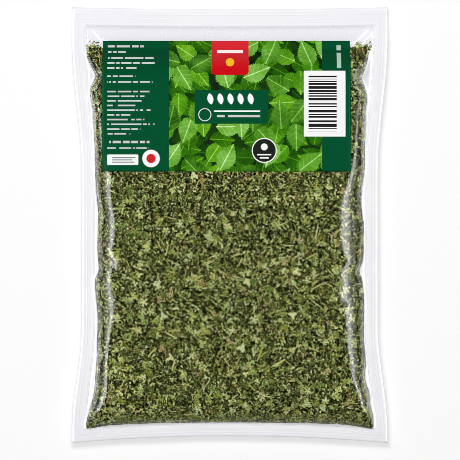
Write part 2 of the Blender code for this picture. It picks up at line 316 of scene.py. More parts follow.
def node(tree, kind, settings=None, inputs=None):
    """Adds a node with its settings and its inputs, which are values or the sockets that feed them."""
    made = tree.nodes.new(kind)
    for key, value in (settings or {}).items():
        if key == "stops":
            while len(made.color_ramp.elements) < len(value):
                made.color_ramp.elements.new(1.0)
            for stop, (place, code) in zip(made.color_ramp.elements, value):
                stop.position = place
                stop.color = linear(code)
        else:
            setattr(made, key, value)
    for key, value in (inputs or {}).items():
        if isinstance(value, bpy.types.NodeSocket):
            tree.links.new(value, made.inputs[key])
        else:
            made.inputs[key].default_value = value
    return made


def tree_of(values):
    """The node tree of the first socket among the values."""
    return next(value.id_data for value in values if isinstance(value, bpy.types.NodeSocket))


def sum_of(operation, *values):
    """One step of arithmetic on sockets and numbers."""
    made = node(tree_of(values), "ShaderNodeMath", {"operation": operation}, dict(enumerate(values)))
    return made.outputs[0]


def times(*values):
    return sum_of("MULTIPLY", *values)


def plus(*values):
    return sum_of("ADD", *values)


def ranged(value, low, high, start=0.0, end=1.0, kind="LINEAR"):
    """Goes from start to end as the value goes from low to high."""
    return node(value.id_data, "ShaderNodeMapRange", {"interpolation_type": kind}, {
        0: value, 1: low, 2: high, 3: start, 4: end}).outputs[0]


def noise(place, size, detail=2.0, roughness=0.5):
    """Soft blotches of a size."""
    return node(place.id_data, "ShaderNodeTexNoise", None, {
        "Vector": place, "Scale": 1 / size, "Detail": detail, "Roughness": roughness}).outputs["Fac"]


def new_material(name):
    made = bpy.data.materials.new(name)
    made.use_nodes = True
    made.node_tree.nodes.clear()
    return made, made.node_tree


# Clear laminated film, blown and calendered. It lets nearly all light through and mirrors lamps at its bends.
# The hot bars leave the welds a little milky, with fine parallel lines one to two millimetres apart, and the
# herb behind presses small dents into it.
WELD_LINES = 0.0024
HERB_DENTS = 0.0020
film, tree = new_material("clear_laminated_film")
place = node(tree, "ShaderNodeTexCoord").outputs["Object"]
weld, from_edge, full = [
    node(tree, "ShaderNodeAttribute", {"attribute_name": name}).outputs["Fac"]
    for name in ("weld", "from_edge", "full")]
lines = node(tree, "ShaderNodeTexNoise", {"noise_dimensions": "1D"}, {
    "W": plus(from_edge, 0.0137), "Scale": 1 / WELD_LINES, "Detail": 2.0, "Roughness": 0.6}).outputs["Fac"]
line_height = times(lines, times(weld, 0.03))
dent_share = times(full, sum_of("SUBTRACT", 1.25, full))
dent_height = times(noise(place, HERB_DENTS, 2.0, 0.75), times(dent_share, 0.09))
bump = node(tree, "ShaderNodeBump", None, {
    "Strength": 1.0, "Distance": 0.001, "Height": plus(line_height, dent_height)}).outputs[0]
outside = sum_of("SUBTRACT", 1.0, node(tree, "ShaderNodeNewGeometry").outputs["Backfacing"])
# Beside the stiff label the film clings to the herb and is finely creased, so its mirror is weak and spread
CLINGS_FROM = (0.046, 0.064)
CLINGS_TO = (0.180, 0.166)
up_the_pouch = node(tree, "ShaderNodeSeparateXYZ", None, {0: place}).outputs["Y"]
clinging = sum_of("MINIMUM", ranged(up_the_pouch, *CLINGS_FROM), ranged(up_the_pouch, *CLINGS_TO))
clinging = times(clinging, full)
mirror_share = times(outside, node(tree, "ShaderNodeFresnel", None, {"IOR": 1.5, "Normal": bump}).outputs[0])
mirror_share = times(mirror_share, sum_of("SUBTRACT", 1.0, times(clinging, 0.35)))
haze = times(times(weld, outside), plus(times(lines, 0.30), 0.62))
clear = node(tree, "ShaderNodeBsdfTransparent", None, {"Color": linear("#fdfdfe")})
milky = node(tree, "ShaderNodeBsdfDiffuse", None, {"Color": linear("#fafafe")})
gloss = node(tree, "ShaderNodeBsdfGlossy", None, {
    "Color": linear("#ffffff"), "Roughness": plus(times(clinging, 0.10), 0.13), "Normal": bump})
body = node(tree, "ShaderNodeMixShader", None, {0: haze, 1: clear.outputs[0], 2: milky.outputs[0]})
skin = node(tree, "ShaderNodeMixShader", None, {0: mirror_share, 1: body.outputs[0], 2: gloss.outputs[0]})
node(tree, "ShaderNodeOutputMaterial", None, {"Surface": skin.outputs[0]})

FINE = 0.0011
back_panel = film_panel("back_panel", back_level, -1, 1.7 * FINE)
back_panel.data.materials.append(film)
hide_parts("back_film")
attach(back_panel, "root")


# The imported herb under the loose flakes. Rubbed leaf breaks to crumbs that pack tight, so this is one dense
# lumpy mass that fills the pouch. The gaps between the flakes show it, coloured near black as painted shade.
LAYER = 0.0035
PACK_STEP = 0.0030
FILL_INSET = 0.0003
FILL_BELOW_TOP = 0.0020
LUMP = 0.0005

# One pixel of the photograph's frame at the seals and at the label, and the camera's own place in it
PIXEL = 0.000952
LABEL_PIXEL = 0.000949
CAMERA_PLACE = (0.2 * PIXEL, -5.0 * PIXEL)


def px(number):
    """The x on the label of a pixel column of the photograph's frame, and py the y of a row."""
    return (number - 230) * LABEL_PIXEL + CAMERA_PLACE[0]


def py(number):
    return (230 - number) * LABEL_PIXEL + CAMERA_PLACE[1]


LABEL_LEFT, LABEL_RIGHT, LABEL_BOTTOM, LABEL_TOP = px(103.1), px(350.0), py(171.9), py(41.0)
LABEL_PRESS = 0.004
LIP, LIP_FROM_SEAL, LIP_WIDTH = 0.00024, -0.0008, 0.0011
SLACK = 0.0006
# Soft lumps in the front film: how high, how far apart and the seed
SOFT_LUMPS = ((0.00012, 0.028, 5), (0.000015, 0.0085, 8))

# Creases in the front film: from (x, y) to (x, y), how high and how wide
CREASES = (
    (-0.131, 0.188, -0.12, 0.1745, 0.0012, 0.0013),
    (-0.1395, 0.19, -0.136, 0.169, 0.0006, 0.0011),
    (0.131, 0.186, 0.115, 0.171, 0.0011, 0.0011),
    (0.1335, 0.182, 0.1225, 0.169, 0.0007, 0.0009),
    (0.136, 0.17, 0.129, 0.156, 0.0006, 0.0012),
    (0.126, 0.189, 0.112, 0.18, -0.0006, 0.002),
    (-0.118, -0.0255, -0.1075, -0.0315, 0.0018, 0.0016),
    (-0.112, -0.033, -0.108, -0.042, -0.0009, 0.0022),
    (0.102, -0.01, 0.1085, -0.013, 0.0009, 0.0018),
    (0.11, -0.073, 0.119, -0.079, 0.0012, 0.0024),
    (0.112, -0.035, 0.123, -0.039, 0.001, 0.002),
    (-0.121, -0.161, -0.1325, -0.184, 0.0009, 0.0014),
    (0.1275, -0.168, 0.1345, -0.186, 0.0009, 0.0013),
)


def creases(x, y):
    height = np.zeros(np.broadcast(x, y).shape)
    for x0, y0, x1, y1, high, wide in CREASES:
        length = math.hypot(x1 - x0, y1 - y0)
        along_x, along_y = (x1 - x0) / length, (y1 - y0) / length
        along = (x - x0) * along_x + (y - y0) * along_y
        aside = -(x - x0) * along_y + (y - y0) * along_x
        ends = ease(along, -0.3 * length, 0.35 * length) * (1 - ease(along, 0.65 * length, 1.3 * length))
        height += high * ends * np.exp(-(aside / wide) ** 2)
    return height


def front_level(u, v):
    """The outer face of the front film, crowned over the herb, with creases, lumps and a lip at the seal."""
    side, bottom, top = from_edges(u, v)
    together = seal_level(u, v) + 2 * FILM + GAP
    full = fullness(u, v)
    x, y = plan(u, v)
    under_label = ease(y, LABEL_BOTTOM - LABEL_PRESS, LABEL_BOTTOM + LABEL_PRESS) * ease(
        x, LABEL_LEFT - LABEL_PRESS, LABEL_LEFT) * ease(-x, -LABEL_RIGHT - LABEL_PRESS, -LABEL_RIGHT)
    lumps = sum(high * ripple(x, y, apart, seed) for high, apart, seed in SOFT_LUMPS)
    lumps = lumps * (1 - 0.9 * under_label) * full
    from_seal = side - SIDE_SEAL - side_dent(u, v)
    lip = np.exp(-((from_seal - LIP_FROM_SEAL) / LIP_WIDTH) ** 2)
    lip = LIP * lip * (0.6 + 0.4 * ripple(x, y, 0.012, 31))
    lumps = lumps + lip * ease(bottom, BOTTOM_SEAL, 0.03) * ease(top, TOP_SEAL, 0.03)
    rise = (FRONT_RISE - SETTLED + CROWN * (1 - u * u) * (1 - v * v)) * full
    slack = (creases(x, y) + SLACK) * ease(top, TOP_SEAL, TOP_SEAL + 0.004)
    slack = slack * ease(side, SIDE_SEAL, SIDE_SEAL + 0.003) * ease(bottom, BOTTOM_SEAL, BOTTOM_SEAL + 0.003)
    return together + rise + lumps + slack


def steep(level, u, v):
    across, upwards = slopes_of(level, u, v)
    return np.sqrt(1 + across**2 + upwards**2)


def herb_grid(step):
    """The herb's upper and lower faces as two grids of points that share their rim's plan."""
    side = 1 - (SIDE_SEAL + FILL_INSET) / HALF_WIDTH
    bottom = -1 + (BOTTOM_SEAL + FILL_INSET) / HALF_HEIGHT
    top = 1 - (TOP_OF_FILL + FILL_BELOW_TOP) / HALF_HEIGHT
    columns, rows = round(2 * HALF_WIDTH / step), round(2 * HALF_HEIGHT / step)
    share, v = np.meshgrid(np.linspace(-1, 1, columns), np.linspace(bottom, top, rows))
    u = share * (side - side_dent(share, v) / HALF_WIDTH)
    v = v + through(BOTTOM_DENT, u * HALF_WIDTH) / HALF_HEIGHT * (1 - v) / 2
    x, y = plan(u, v)
    full = fullness(u, v)
    upper = front_level(u, v) - (FILM + GAP) * steep(front_level, u, v) - LAYER * full
    lower = back_level(u, v) + (FILM + GAP) * steep(back_level, u, v) + 0.7 * LAYER * full
    middle = (upper + lower) / 2
    lumps = LUMP * ripple(x, y, 0.0052, 21) * full
    upper, lower = np.maximum(upper + lumps - LUMP * full, middle), np.minimum(lower + LUMP * full, middle)
    return np.stack([x, y, upper], -1), np.stack([x, y, lower], -1)


def ramp(value, *stops):
    """A colour between stops, each a place and a hex code."""
    return node(value.id_data, "ShaderNodeValToRGB", {"stops": stops}, {"Fac": value}).outputs["Color"]


def solid_surface(tree, colour, roughness, specular, grain, strength, depth):
    """Ends a material as a solid surface with a small relief. grain is its size and detail."""
    place = node(tree, "ShaderNodeTexCoord").outputs["Object"]
    bump = node(tree, "ShaderNodeBump", None, {
        "Strength": strength, "Distance": depth, "Height": noise(place, *grain)})
    surface = node(tree, "ShaderNodeBsdfPrincipled", None, {
        "Base Color": colour, "Roughness": roughness, "Specular IOR Level": specular,
        "Normal": bump.outputs[0]})
    node(tree, "ShaderNodeOutputMaterial", None, {"Surface": surface.outputs[0]})


# Crumbs of dried leaf, packed and lit only through the gaps above. Their deep olive is painted shade, far
# darker than the crumbs' own colour, with paler specks the size of a crumb, 1.5 mm.
CRUMB = 0.0015
crumb_bed_painted_shade, tree = new_material("packed_crumbs_painted_shade")
place = node(tree, "ShaderNodeTexCoord").outputs["Object"]
specks = node(tree, "ShaderNodeTexVoronoi", None, {"Vector": place, "Scale": 1 / CRUMB}).outputs["Color"]
speck = node(tree, "ShaderNodeSeparateColor", None, {"Color": specks}).outputs[0]
colour = ramp(speck, (0.0, "#040400"), (0.5, "#0c0e01"), (0.85, "#1c2004"), (1.0, "#444c12"))
solid_surface(tree, colour, 0.85, 0.0, (0.0012, 3.0), 1.0, 0.0006)

upper, lower = herb_grid(PACK_STEP)
packed_herb = sheet_of("packed_herb", upper, lower, {})
packed_herb.data.materials.append(crumb_bed_painted_shade)
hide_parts("parsley_crumbs")
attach(packed_herb, "root")


# The loose flakes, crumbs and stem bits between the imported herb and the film. Each is a torn piece of dried
# leaf, cupped and folded as it dried. They are strewn over the herb on both sides, and the film presses the
# highest ones flat.
def flake_shape(name, outline, rings, fold, cup, thick, draw):
    """One closed flake of unit size. rings are shares of the outline, from its edge inwards."""
    outline = np.array(outline)
    count = len(outline)
    flat = np.concatenate([outline * ring for ring in rings] + [[[0.0, 0.0]]])
    rim = np.repeat([*rings, 0.0], [count] * len(rings) + [1])
    lift = fold * np.abs(flat[:, 1]) + cup * (flat**2).sum(1) + draw.normal(0, 0.05, len(flat)) * rim
    half = thick * (1 - rim**2) / 2
    upper = np.column_stack([flat, lift + half])
    lower = np.column_stack([flat, lift - half])[count:]
    total = len(upper)
    faces = []
    for side, shift in ((1, 0), (-1, total - count)):
        index = [np.arange(count)] + [np.arange(count) + count * k + shift for k in range(1, len(rings))]
        for outside, within in zip(index, index[1:]):
            for k in range(count):
                j = (k + 1) % count
                faces.append((outside[k], outside[j], within[j], within[k])[::side])
        centre = total - 1 + shift
        for k in range(count):
            faces.append((index[-1][k], index[-1][(k + 1) % count], centre)[::side])
    mesh = bpy.data.meshes.new(name)
    mesh.from_pydata(np.concatenate([upper, lower]).tolist(), [], [[int(k) for k in face] for face in faces])
    add_number(mesh, "rim", np.concatenate([rim, rim[count:]]))
    return bpy.data.objects.new(name, mesh)


def torn_outline(corners, longer, draw):
    """A torn scrap: a jagged polygon that is longer than it is wide, with one or two long points."""
    turns = (np.arange(corners) + draw.uniform(-0.35, 0.35, corners)) * 2 * math.pi / corners
    reach = draw.uniform(0.42, 0.80, corners)
    reach[draw.permutation(corners)[:corners // 3 + 1]] = draw.uniform(0.95, 1.35, corners // 3 + 1)
    return np.column_stack([np.cos(turns) * reach * longer, np.sin(turns) * reach / longer])


def leaflet_outline(points, lobes, draw):
    """The tip of a divided leaf: lobes that fan out from the stalk, each with a few teeth."""
    outline = []
    for k in range(points):
        turn = math.pi * (2 * k / points - 1)
        lobe = abs(math.cos(lobes * turn / 2)) ** 0.9
        tooth = 0.11 * (1 if k % 2 else -1)
        reach = (0.30 + 0.66 * lobe + tooth) * draw.uniform(0.88, 1.10)
        reach = reach * (1 - 0.35 * abs(turn / math.pi) ** 3)
        outline.append((reach * math.cos(turn), reach * math.sin(turn)))
    return outline


def stem_shape(name, draw):
    """A broken stem of unit length: a closed rod of five sides with a bend."""
    stations, sides = 4, 5
    bend, radius = draw.uniform(-0.08, 0.08), 0.065
    points, rim = [], []
    for k in range(stations):
        t = 2 * k / (stations - 1) - 1
        for side in range(sides):
            turn = 2 * math.pi * side / sides
            reach = radius * draw.uniform(0.8, 1.15)
            points.append((t / 2, bend * (1 - t * t) + reach * math.cos(turn), reach * math.sin(turn)))
            rim.append(abs(t))
    faces = []
    for k in range(stations - 1):
        for side in range(sides):
            a, b = k * sides + side, k * sides + (side + 1) % sides
            faces.append((a, b, b + sides, a + sides))
    faces.append(tuple(range(sides))[::-1])
    faces.append(tuple((stations - 1) * sides + side for side in range(sides)))
    mesh = bpy.data.meshes.new(name)
    mesh.from_pydata(points, [], faces)
    add_number(mesh, "rim", rim)
    return bpy.data.objects.new(name, mesh)


def group_of(name, shapes):
    group = bpy.data.collections.new(name)
    for shape in shapes:
        group.objects.link(shape)
    return group


draw = np.random.default_rng(40)
leaflets = group_of("leaflets", [
    flake_shape(f"leaflet_{k}", leaflet_outline(20, 3 + 2 * (k % 2), draw), (1.0, 0.5), fold, 0.1, 0.1, draw)
    for k, fold in enumerate((0.15, -0.25, 0.35, 0.05, -0.10, 0.28))])
scraps = group_of("leaf_scraps", [
    flake_shape(f"scrap_{k}", torn_outline(7 + k % 2, 1.05 + 0.18 * (k % 4), draw), (1.0,), fold, 0.12, 0.12,
                draw)
    for k, fold in enumerate((0.45, -0.35, 0.2, 0.6, -0.15, 0.3, -0.5, 0.1, 0.5))])
crumbs = group_of("leaf_crumbs", [
    flake_shape(f"crumb_{k}", torn_outline(5, 1.0 + 0.08 * (k % 5), draw), (1.0,), fold, 0.1, 0.3, draw)
    for k, fold in enumerate((0.3, -0.3, 0.5, 0.0, -0.2, 0.2))])
stem_bits = group_of("stem_bits", [stem_shape(f"stem_bit_{k}", draw) for k in range(5)])


def chart_of(tree):
    """A flake's place on the colour chart: its tone, and the band of its tint."""
    chart = node(tree, "ShaderNodeUVMap", {"uv_map": "OFBake"}).outputs[0]
    return node(tree, "ShaderNodeSeparateXYZ", None, {0: chart}).outputs


def over(mask, under, ink):
    """Lays a colour over what is there, as far as the mask says."""
    return node(mask.id_data, "ShaderNodeMix", {"data_type": "RGBA"}, {0: mask, 6: under, 7: ink}).outputs[2]


# Dried parsley leaf, rubbed through a sieve. It is dull and thin, dark olive to pale grey-green, with a few
# browned scraps. Its paler edges are partly the torn edge's own colour and partly a painted highlight where
# edges catch light. Each flake's tone and tint pick its place on a small colour chart.
TINTS = 3
MOST_OLIVE = 0.62
MOST_GREEN = 0.91
dried_leaf, tree = new_material("dried_rubbed_leaf")
parts = chart_of(tree)
band = times(parts[1], float(TINTS))
leaf_colour = ramp(parts[0], (0.0, "#040600"), (0.36, "#232a02"), (0.55, "#565f0c"), (0.73, "#9ca638"),
                   (0.88, "#d0d884"), (1.0, "#f6f8cc"))
green = ramp(parts[0], (0.0, "#040802"), (0.36, "#1f3408"), (0.60, "#587c26"), (0.78, "#9cb862"),
             (0.95, "#dce6b4"))
brown = ramp(parts[0], (0.0, "#140a04"), (0.36, "#4a3210"), (0.65, "#8a6a30"), (0.95, "#d8c090"))
for least, other in ((1.0, green), (2.0, brown)):
    leaf_colour = over(sum_of("GREATER_THAN", band, least), leaf_colour, other)
# Paler edges: partly the torn edge's own colour, partly a painted highlight, stronger on paler flakes
pale_rim_and_painted_highlight = times(sum_of("POWER", sum_of("FRACT", band), 3.0), times(parts[0], 0.6))
leaf_colour = over(pale_rim_and_painted_highlight, leaf_colour, linear("#dcdf98"))
solid_surface(tree, leaf_colour, 0.60, 0.04, (0.0009, 2.0), 0.7, 0.0003)

# Dried stem, straw to olive, with fine ridges along it.
dried_stem, tree = new_material("dried_stem")
parts = chart_of(tree)
colour = ramp(parts[0], (0.0, "#6a6a24"), (0.35, "#96963e"), (0.7, "#c2c268"), (1.0, "#dedc96"))
solid_surface(tree, colour, 0.55, 0.15, (0.0007, 2.0), 0.5, 0.0002)

UNDER_LABEL = 0.006
BED_STEP = 0.0045
CLOSEST = 0.0002


def bed_of(name, low, high, back):
    """The part of the herb's face between two heights up the pouch, without what the label hides."""
    upper, lower = herb_grid(BED_STEP)
    points, middle = lower if back else upper, (upper + lower) / 2
    edge_left = np.linspace(points[:, 0], middle[:, 0], 3, axis=1)
    edge_right = np.linspace(points[:, -1], middle[:, -1], 3, axis=1)
    points = np.concatenate([edge_left[:, ::-1][:, :-1], points, edge_right[:, 1:]], axis=1)
    quads = grid_faces(*points.shape[:2])[1]
    flat = points.reshape(-1, 3)
    centre = flat[quads].mean(1)
    wanted = (centre[:, 1] >= low) & (centre[:, 1] < high)
    if back:
        quads = quads[:, ::-1]
    else:
        hidden = (centre[:, 0] > LABEL_LEFT + UNDER_LABEL) & (centre[:, 0] < LABEL_RIGHT - UNDER_LABEL)
        wanted &= ~(hidden & (centre[:, 1] > LABEL_BOTTOM + UNDER_LABEL))
    mesh = bpy.data.meshes.new(name)
    mesh.from_pydata(flat.tolist(), [], quads[wanted].tolist())
    return add_object(name, mesh)


def press_under_film(points):
    """Moves points that would stand through the film back between the two panels."""
    x, y, z = points.T
    u, v = unplan(x, y)
    most = 1 - (SIDE_SEAL + side_dent(u, v) + CLOSEST) / HALF_WIDTH
    u = np.clip(u, -most, most)
    least = BOTTOM_SEAL + through(BOTTOM_DENT, u * HALF_WIDTH) + CLOSEST
    v = np.clip(v, -1 + least / HALF_HEIGHT, 1 - (TOP_SEAL + 0.001) / HALF_HEIGHT)
    x, y = plan(u, v)
    ceiling, ground = front_level(u, v), back_level(u, v)
    room = np.minimum(CLOSEST, (ceiling - ground - 2 * FILM) / 4)
    ceiling = ceiling - (FILM + room) * steep(front_level, u, v)
    ground = ground + (FILM + room) * steep(back_level, u, v)
    middle = (ceiling + ground) / 2
    return np.stack([x, y, np.clip(z, np.minimum(ground, middle), np.maximum(ceiling, middle))], -1)


def chart_place(mesh):
    """Gives each flake its place on the colour chart, as the mesh's own map."""
    loops = len(mesh.loops)
    point = np.empty(loops, np.int32)
    mesh.loops.foreach_get("vertex_index", point)
    values = {}
    for key in ("tone", "tint", "rim"):
        read = np.empty(len(mesh.vertices), np.float32)
        mesh.attributes[key].data.foreach_get("value", read)
        values[key] = read[point]
    blotch = 0.30 * (np.sin(point * 2.4) + np.sin(point * 7.7)) / 2
    tint = (values["tint"] > MOST_OLIVE).astype(int) + (values["tint"] > MOST_GREEN)
    across = np.clip(0.02 + 0.96 * values["tone"] + blotch, 0.01, 0.99)
    # The rim share places each point within its band, where the leaf material paints the edge highlight
    upwards = (tint + 0.06 + 0.88 * values["rim"]) / TINTS
    chart = mesh.uv_layers.new(name="OFBake")
    chart.data.foreach_set("uv", np.stack([across, upwards], -1).ravel().astype("f"))
    for key in values:
        mesh.attributes.remove(mesh.attributes[key])


def settle(mesh, size=1.0, turn=0.0, centre=(0.0, 0.0, 0.0)):
    """Sizes, turns and places a mesh's points, and keeps them between the two panels."""
    points = np.empty(len(mesh.vertices) * 3, np.float32)
    mesh.vertices.foreach_get("co", points)
    points = points.reshape(-1, 3).astype(float) * size
    swing = np.array([[math.cos(turn), -math.sin(turn), 0], [math.sin(turn), math.cos(turn), 0], [0, 0, 1]])
    points = press_under_film(points @ swing.T + np.array(centre))
    mesh.vertices.foreach_set("co", points.ravel().astype("f"))


def add_flakes(name, mesh):
    """Makes a piece of a mesh of flakes."""
    chart_place(mesh)
    made = add_object(name, mesh)
    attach(made, "root")
    return made


def strew(name, bed, shapes, finish, seed, density, depth, size, tilt, tone):
    """Strews shapes over a bed's face as one plain mesh. depth, size and tone run from a least to a most."""
    tree = bpy.data.node_groups.new("strewn_flakes", "GeometryNodeTree")
    for side in ("INPUT", "OUTPUT"):
        tree.interface.new_socket("Geometry", in_out=side, socket_type="NodeSocketGeometry")

    def drawn(kind, low, high, number):
        first = {"FLOAT_VECTOR": 0, "FLOAT": 2, "INT": 4}[kind]
        return node(tree, "FunctionNodeRandomValue", {"data_type": kind}, {
            first: low, first + 1: high, "Seed": seed + number}).outputs[first // 2]

    def stored(geometry, key, value):
        return node(tree, "GeometryNodeStoreNamedAttribute", {"data_type": "FLOAT", "domain": "INSTANCE"}, {
            "Geometry": geometry, "Name": key, "Value": value}).outputs[0]

    places = node(tree, "GeometryNodeDistributePointsOnFaces", None, {
        "Mesh": node(tree, "NodeGroupInput").outputs[0], "Density": density, "Seed": seed}).outputs
    lift = node(tree, "ShaderNodeVectorMath", {"operation": "SCALE"}, {
        0: places["Normal"], "Scale": drawn("FLOAT", depth[0] * LAYER, depth[1] * LAYER, 11)})
    points = node(tree, "GeometryNodeSetPosition", None, {"Geometry": places[0], "Offset": lift.outputs[0]})
    angles = drawn("FLOAT_VECTOR", (-tilt, -tilt, -math.pi), (tilt, tilt, math.pi), 12)
    turn = node(tree, "FunctionNodeEulerToRotation", None, {0: angles})
    turned = node(tree, "FunctionNodeRotateRotation", {"rotation_space": "LOCAL"}, {
        0: places["Rotation"], 1: turn.outputs[0]})
    choice = node(tree, "GeometryNodeCollectionInfo", None, {
        "Collection": shapes, "Separate Children": True, "Reset Children": True})
    laid = node(tree, "GeometryNodeInstanceOnPoints", None, {
        "Points": points.outputs[0], "Instance": choice.outputs[0], "Pick Instance": True,
        "Instance Index": drawn("INT", 0, 8, 13), "Rotation": turned.outputs[0],
        "Scale": drawn("FLOAT", *size, 14)})
    toned = stored(laid.outputs[0], "tone", drawn("FLOAT", *tone, 15))
    tinted = stored(toned, "tint", drawn("FLOAT", 0.0, 1.0, 16))
    real = node(tree, "GeometryNodeRealizeInstances", None, {"Geometry": tinted})
    done = node(tree, "GeometryNodeSetMaterial", None, {"Geometry": real.outputs[0], "Material": finish})
    node(tree, "NodeGroupOutput", None, {0: done.outputs[0]})
    bed.modifiers.new("strewn", "NODES").node_group = tree
    depsgraph = bpy.context.evaluated_depsgraph_get()
    mesh = bpy.data.meshes.new_from_object(
        bed.evaluated_get(depsgraph), preserve_all_data_layers=True, depsgraph=depsgraph)
    bed.modifiers.clear()
    bpy.data.node_groups.remove(tree)
    mesh.name = name
    settle(mesh)
    add_flakes(name, mesh)


BACK_SHARE = 0.35
BEDS = (
    ("front_low", -1.0, -0.115, False), ("front_middle", -0.115, -0.030, False),
    ("front_high", -0.030, 1.0, False), ("back_low", -1.0, -0.03, True), ("back_high", -0.03, 1.0, True),
)
# What is strewn on each bed: its name, shapes, finish, first seed and number to the square metre, then the
# least and most depth as shares of the layer, the least and most size, the tilt, and the least and most tone
# The tone ranges go with height: deep flakes take only dark tones, as painted shade in the gaps, and high
# ones the paler tones
STREWN = (
    ("low_scraps", scraps, dried_leaf, 100, 1.7e5, (0.0, 0.5), (0.0009, 0.0021), 0.8, (0.0, 0.20)),
    ("low_crumbs", crumbs, dried_leaf, 200, 2.0e5, (0.1, 0.7), (0.0004, 0.0010), 0.9, (0.0, 0.45)),
    ("high_scraps", scraps, dried_leaf, 300, 3.0e5, (0.5, 1.0), (0.0007, 0.0018), 0.9, (0.16, 1.0)),
    ("high_crumbs", crumbs, dried_leaf, 600, 1.5e5, (0.6, 1.0), (0.0004, 0.0008), 0.9, (0.3, 1.0)),
    ("leaflets", leaflets, dried_leaf, 400, 1.0e4, (0.65, 1.0), (0.0026, 0.0050), 0.35, (0.35, 1.0)),
    ("stem_bits", stem_bits, dried_stem, 500, 0.9e4, (0.4, 1.0), (0.0035, 0.0105), 0.25, (0.0, 1.0)),
)
for number, (part, low, high, back) in enumerate(BEDS):
    bed = bed_of(part, low, high, back)
    share = BACK_SHARE if back else 1.0
    for name, shapes, finish, seed, density, *looks in STREWN:
        strew(f"{name}_{part}", bed, shapes, finish, seed + number, density * share, *looks)
    bpy.data.objects.remove(bed, do_unlink=True)

# Fine crumbs that have settled above the bottom seal
bed = bed_of("foot", -1.0, -0.176, False)
strew("settled_crumbs", bed, crumbs, dried_leaf, 800, 5.0e5, (0.5, 1.0), (0.0005, 0.0011), 0.6, (0.35, 0.85))
bpy.data.objects.remove(bed, do_unlink=True)

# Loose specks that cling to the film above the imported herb, fewer and fewer upwards, on both sides of the
# label. Each strip has its upper and lower end, from the top of the fill, and its share of specks
STRAY_SIDES = ((-0.957, -0.83), (0.80, 0.955))
STRAY_STRIPS = ((-0.0035, 0.0005, 0.22), (0.0005, 0.0050, 1.0))
for side, (u0, u1) in enumerate(STRAY_SIDES):
    for strip, (high, low, share) in enumerate(STRAY_STRIPS):
        heights = 1 - (TOP_OF_FILL - 0.001 + np.linspace(low, high, 3)) / HALF_HEIGHT
        u, v = np.meshgrid(np.linspace(u0, u1, 8), heights)
        x, y = plan(u, v)
        points = np.stack([x, y, 0.3 * back_level(u, v) + 0.7 * front_level(u, v) - 0.001], -1)
        bed = sheet_of(f"stray_bed_{side}_{strip}", points, points - (0, 0, 0.00001), {})
        strew(f"stray_scraps_{side}_{strip}", bed, scraps, dried_leaf, 700 + 10 * side + strip,
              7.0e5 * share, (0.0, 0.3), (0.0005, 0.0013), 0.6, (0.15, 1.0))
        bpy.data.objects.remove(bed, do_unlink=True)


# The larger leaf flakes and stems that lie right under the front film, each where the model holds it. They
# are whole tips of dried leaf and the thicker stems, which the film presses flat.
LARGE_FLAKE = 0.0052


def lay(name, shape, centre, size, turn, tone, tint, finish):
    """One flake or stem on its own, laid flat under the film."""
    mesh = shape.data.copy()
    mesh.name = name
    settle(mesh, size, turn, centre)
    add_number(mesh, "tone", np.full(len(mesh.vertices), tone))
    add_number(mesh, "tint", np.full(len(mesh.vertices), tint))
    mesh.materials.append(finish)
    return add_flakes(name, mesh)


for name in sorted(frame["nodes"]):
    if not name.startswith(("leaf_flake", "stem_piece")):
        continue
    held = frame["nodes"][name]
    points = np.array([held.matrix_world @ vertex.co for vertex in held.data.vertices])
    centre = (points.min(0) + points.max(0)) / 2
    spread = points - centre
    longest = spread[np.argmax(np.linalg.norm(spread[:, :2], axis=1))]
    turn = math.atan2(longest[1], longest[0])
    number = int(name[-2:])
    # The topmost flakes take the paler tones, the other end of the painted shade that darkens the deep ones
    if name.startswith("leaf_flake"):
        piece = lay(f"large_{name}", leaflets.objects[number % 6], centre, LARGE_FLAKE, turn,
                    draw.uniform(0.55, 1.0), draw.uniform(0.2, 0.9), dried_leaf)
    else:
        long = 2 * np.linalg.norm(longest[:2])
        piece = lay(f"large_{name}", stem_bits.objects[number % 5], centre, long, turn,
                    draw.uniform(0.5, 1.0), 0.3, dried_stem)
    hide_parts(name)

for group in (leaflets, scraps, crumbs, stem_bits):
    for shape in list(group.objects):
        bpy.data.objects.remove(shape, do_unlink=True)
    bpy.data.collections.remove(group)


# The front panel of the pouch, the same film as the back. The herb fills it out to a shallow cushion, and it
# creases where the walls turn into the seals.
front_panel = film_panel("front_panel", front_level, 1, FINE)
front_panel.data.materials.append(film)
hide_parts("front_film")
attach(front_panel, "root")


# The label, a sheet of coated paper printed in full colour and stuck to the front panel, 234 x 124 mm.
# It bends with the film.
LABEL_PAPER = 0.00015
LABEL_LIFT = 0.00035
x, y = np.meshgrid(np.linspace(LABEL_LEFT, LABEL_RIGHT, 150), np.linspace(LABEL_BOTTOM, LABEL_TOP, 80))
u, v = unplan(x, y)
slope = steep(front_level, u, v)
level = front_level(u, v)
outer = np.stack([x, y, level + (LABEL_LIFT + LABEL_PAPER) * slope], -1)
inner = np.stack([x, y, level + LABEL_LIFT * slope], -1)
label = sheet_of("printed_label", outer, inner, {})


def vector_of(operation, *values):
    """One step of arithmetic on vectors."""
    made = node(tree_of(values), "ShaderNodeVectorMath", {"operation": operation}, dict(enumerate(values)))
    return made.outputs["Value" if operation == "LENGTH" else "Vector"]


def patch(place, x0, y0, x1, y1, corner=0.3):
    """A mask that is 1 inside a box with rounded corners, given in pixel columns and rows."""
    corner, soft = corner * LABEL_PIXEL, 0.25 * LABEL_PIXEL
    centre = ((px(x0) + px(x1)) / 2, (py(y0) + py(y1)) / 2, 0)
    half = (abs(px(x1) - px(x0)) / 2 - corner, abs(py(y1) - py(y0)) / 2 - corner, 1)
    away = vector_of("ABSOLUTE", vector_of("SUBTRACT", place, centre))
    beyond = vector_of("MAXIMUM", vector_of("SUBTRACT", away, half), (0, 0, 0))
    return ranged(vector_of("LENGTH", beyond), corner - soft, corner + soft, 1.0, 0.0)


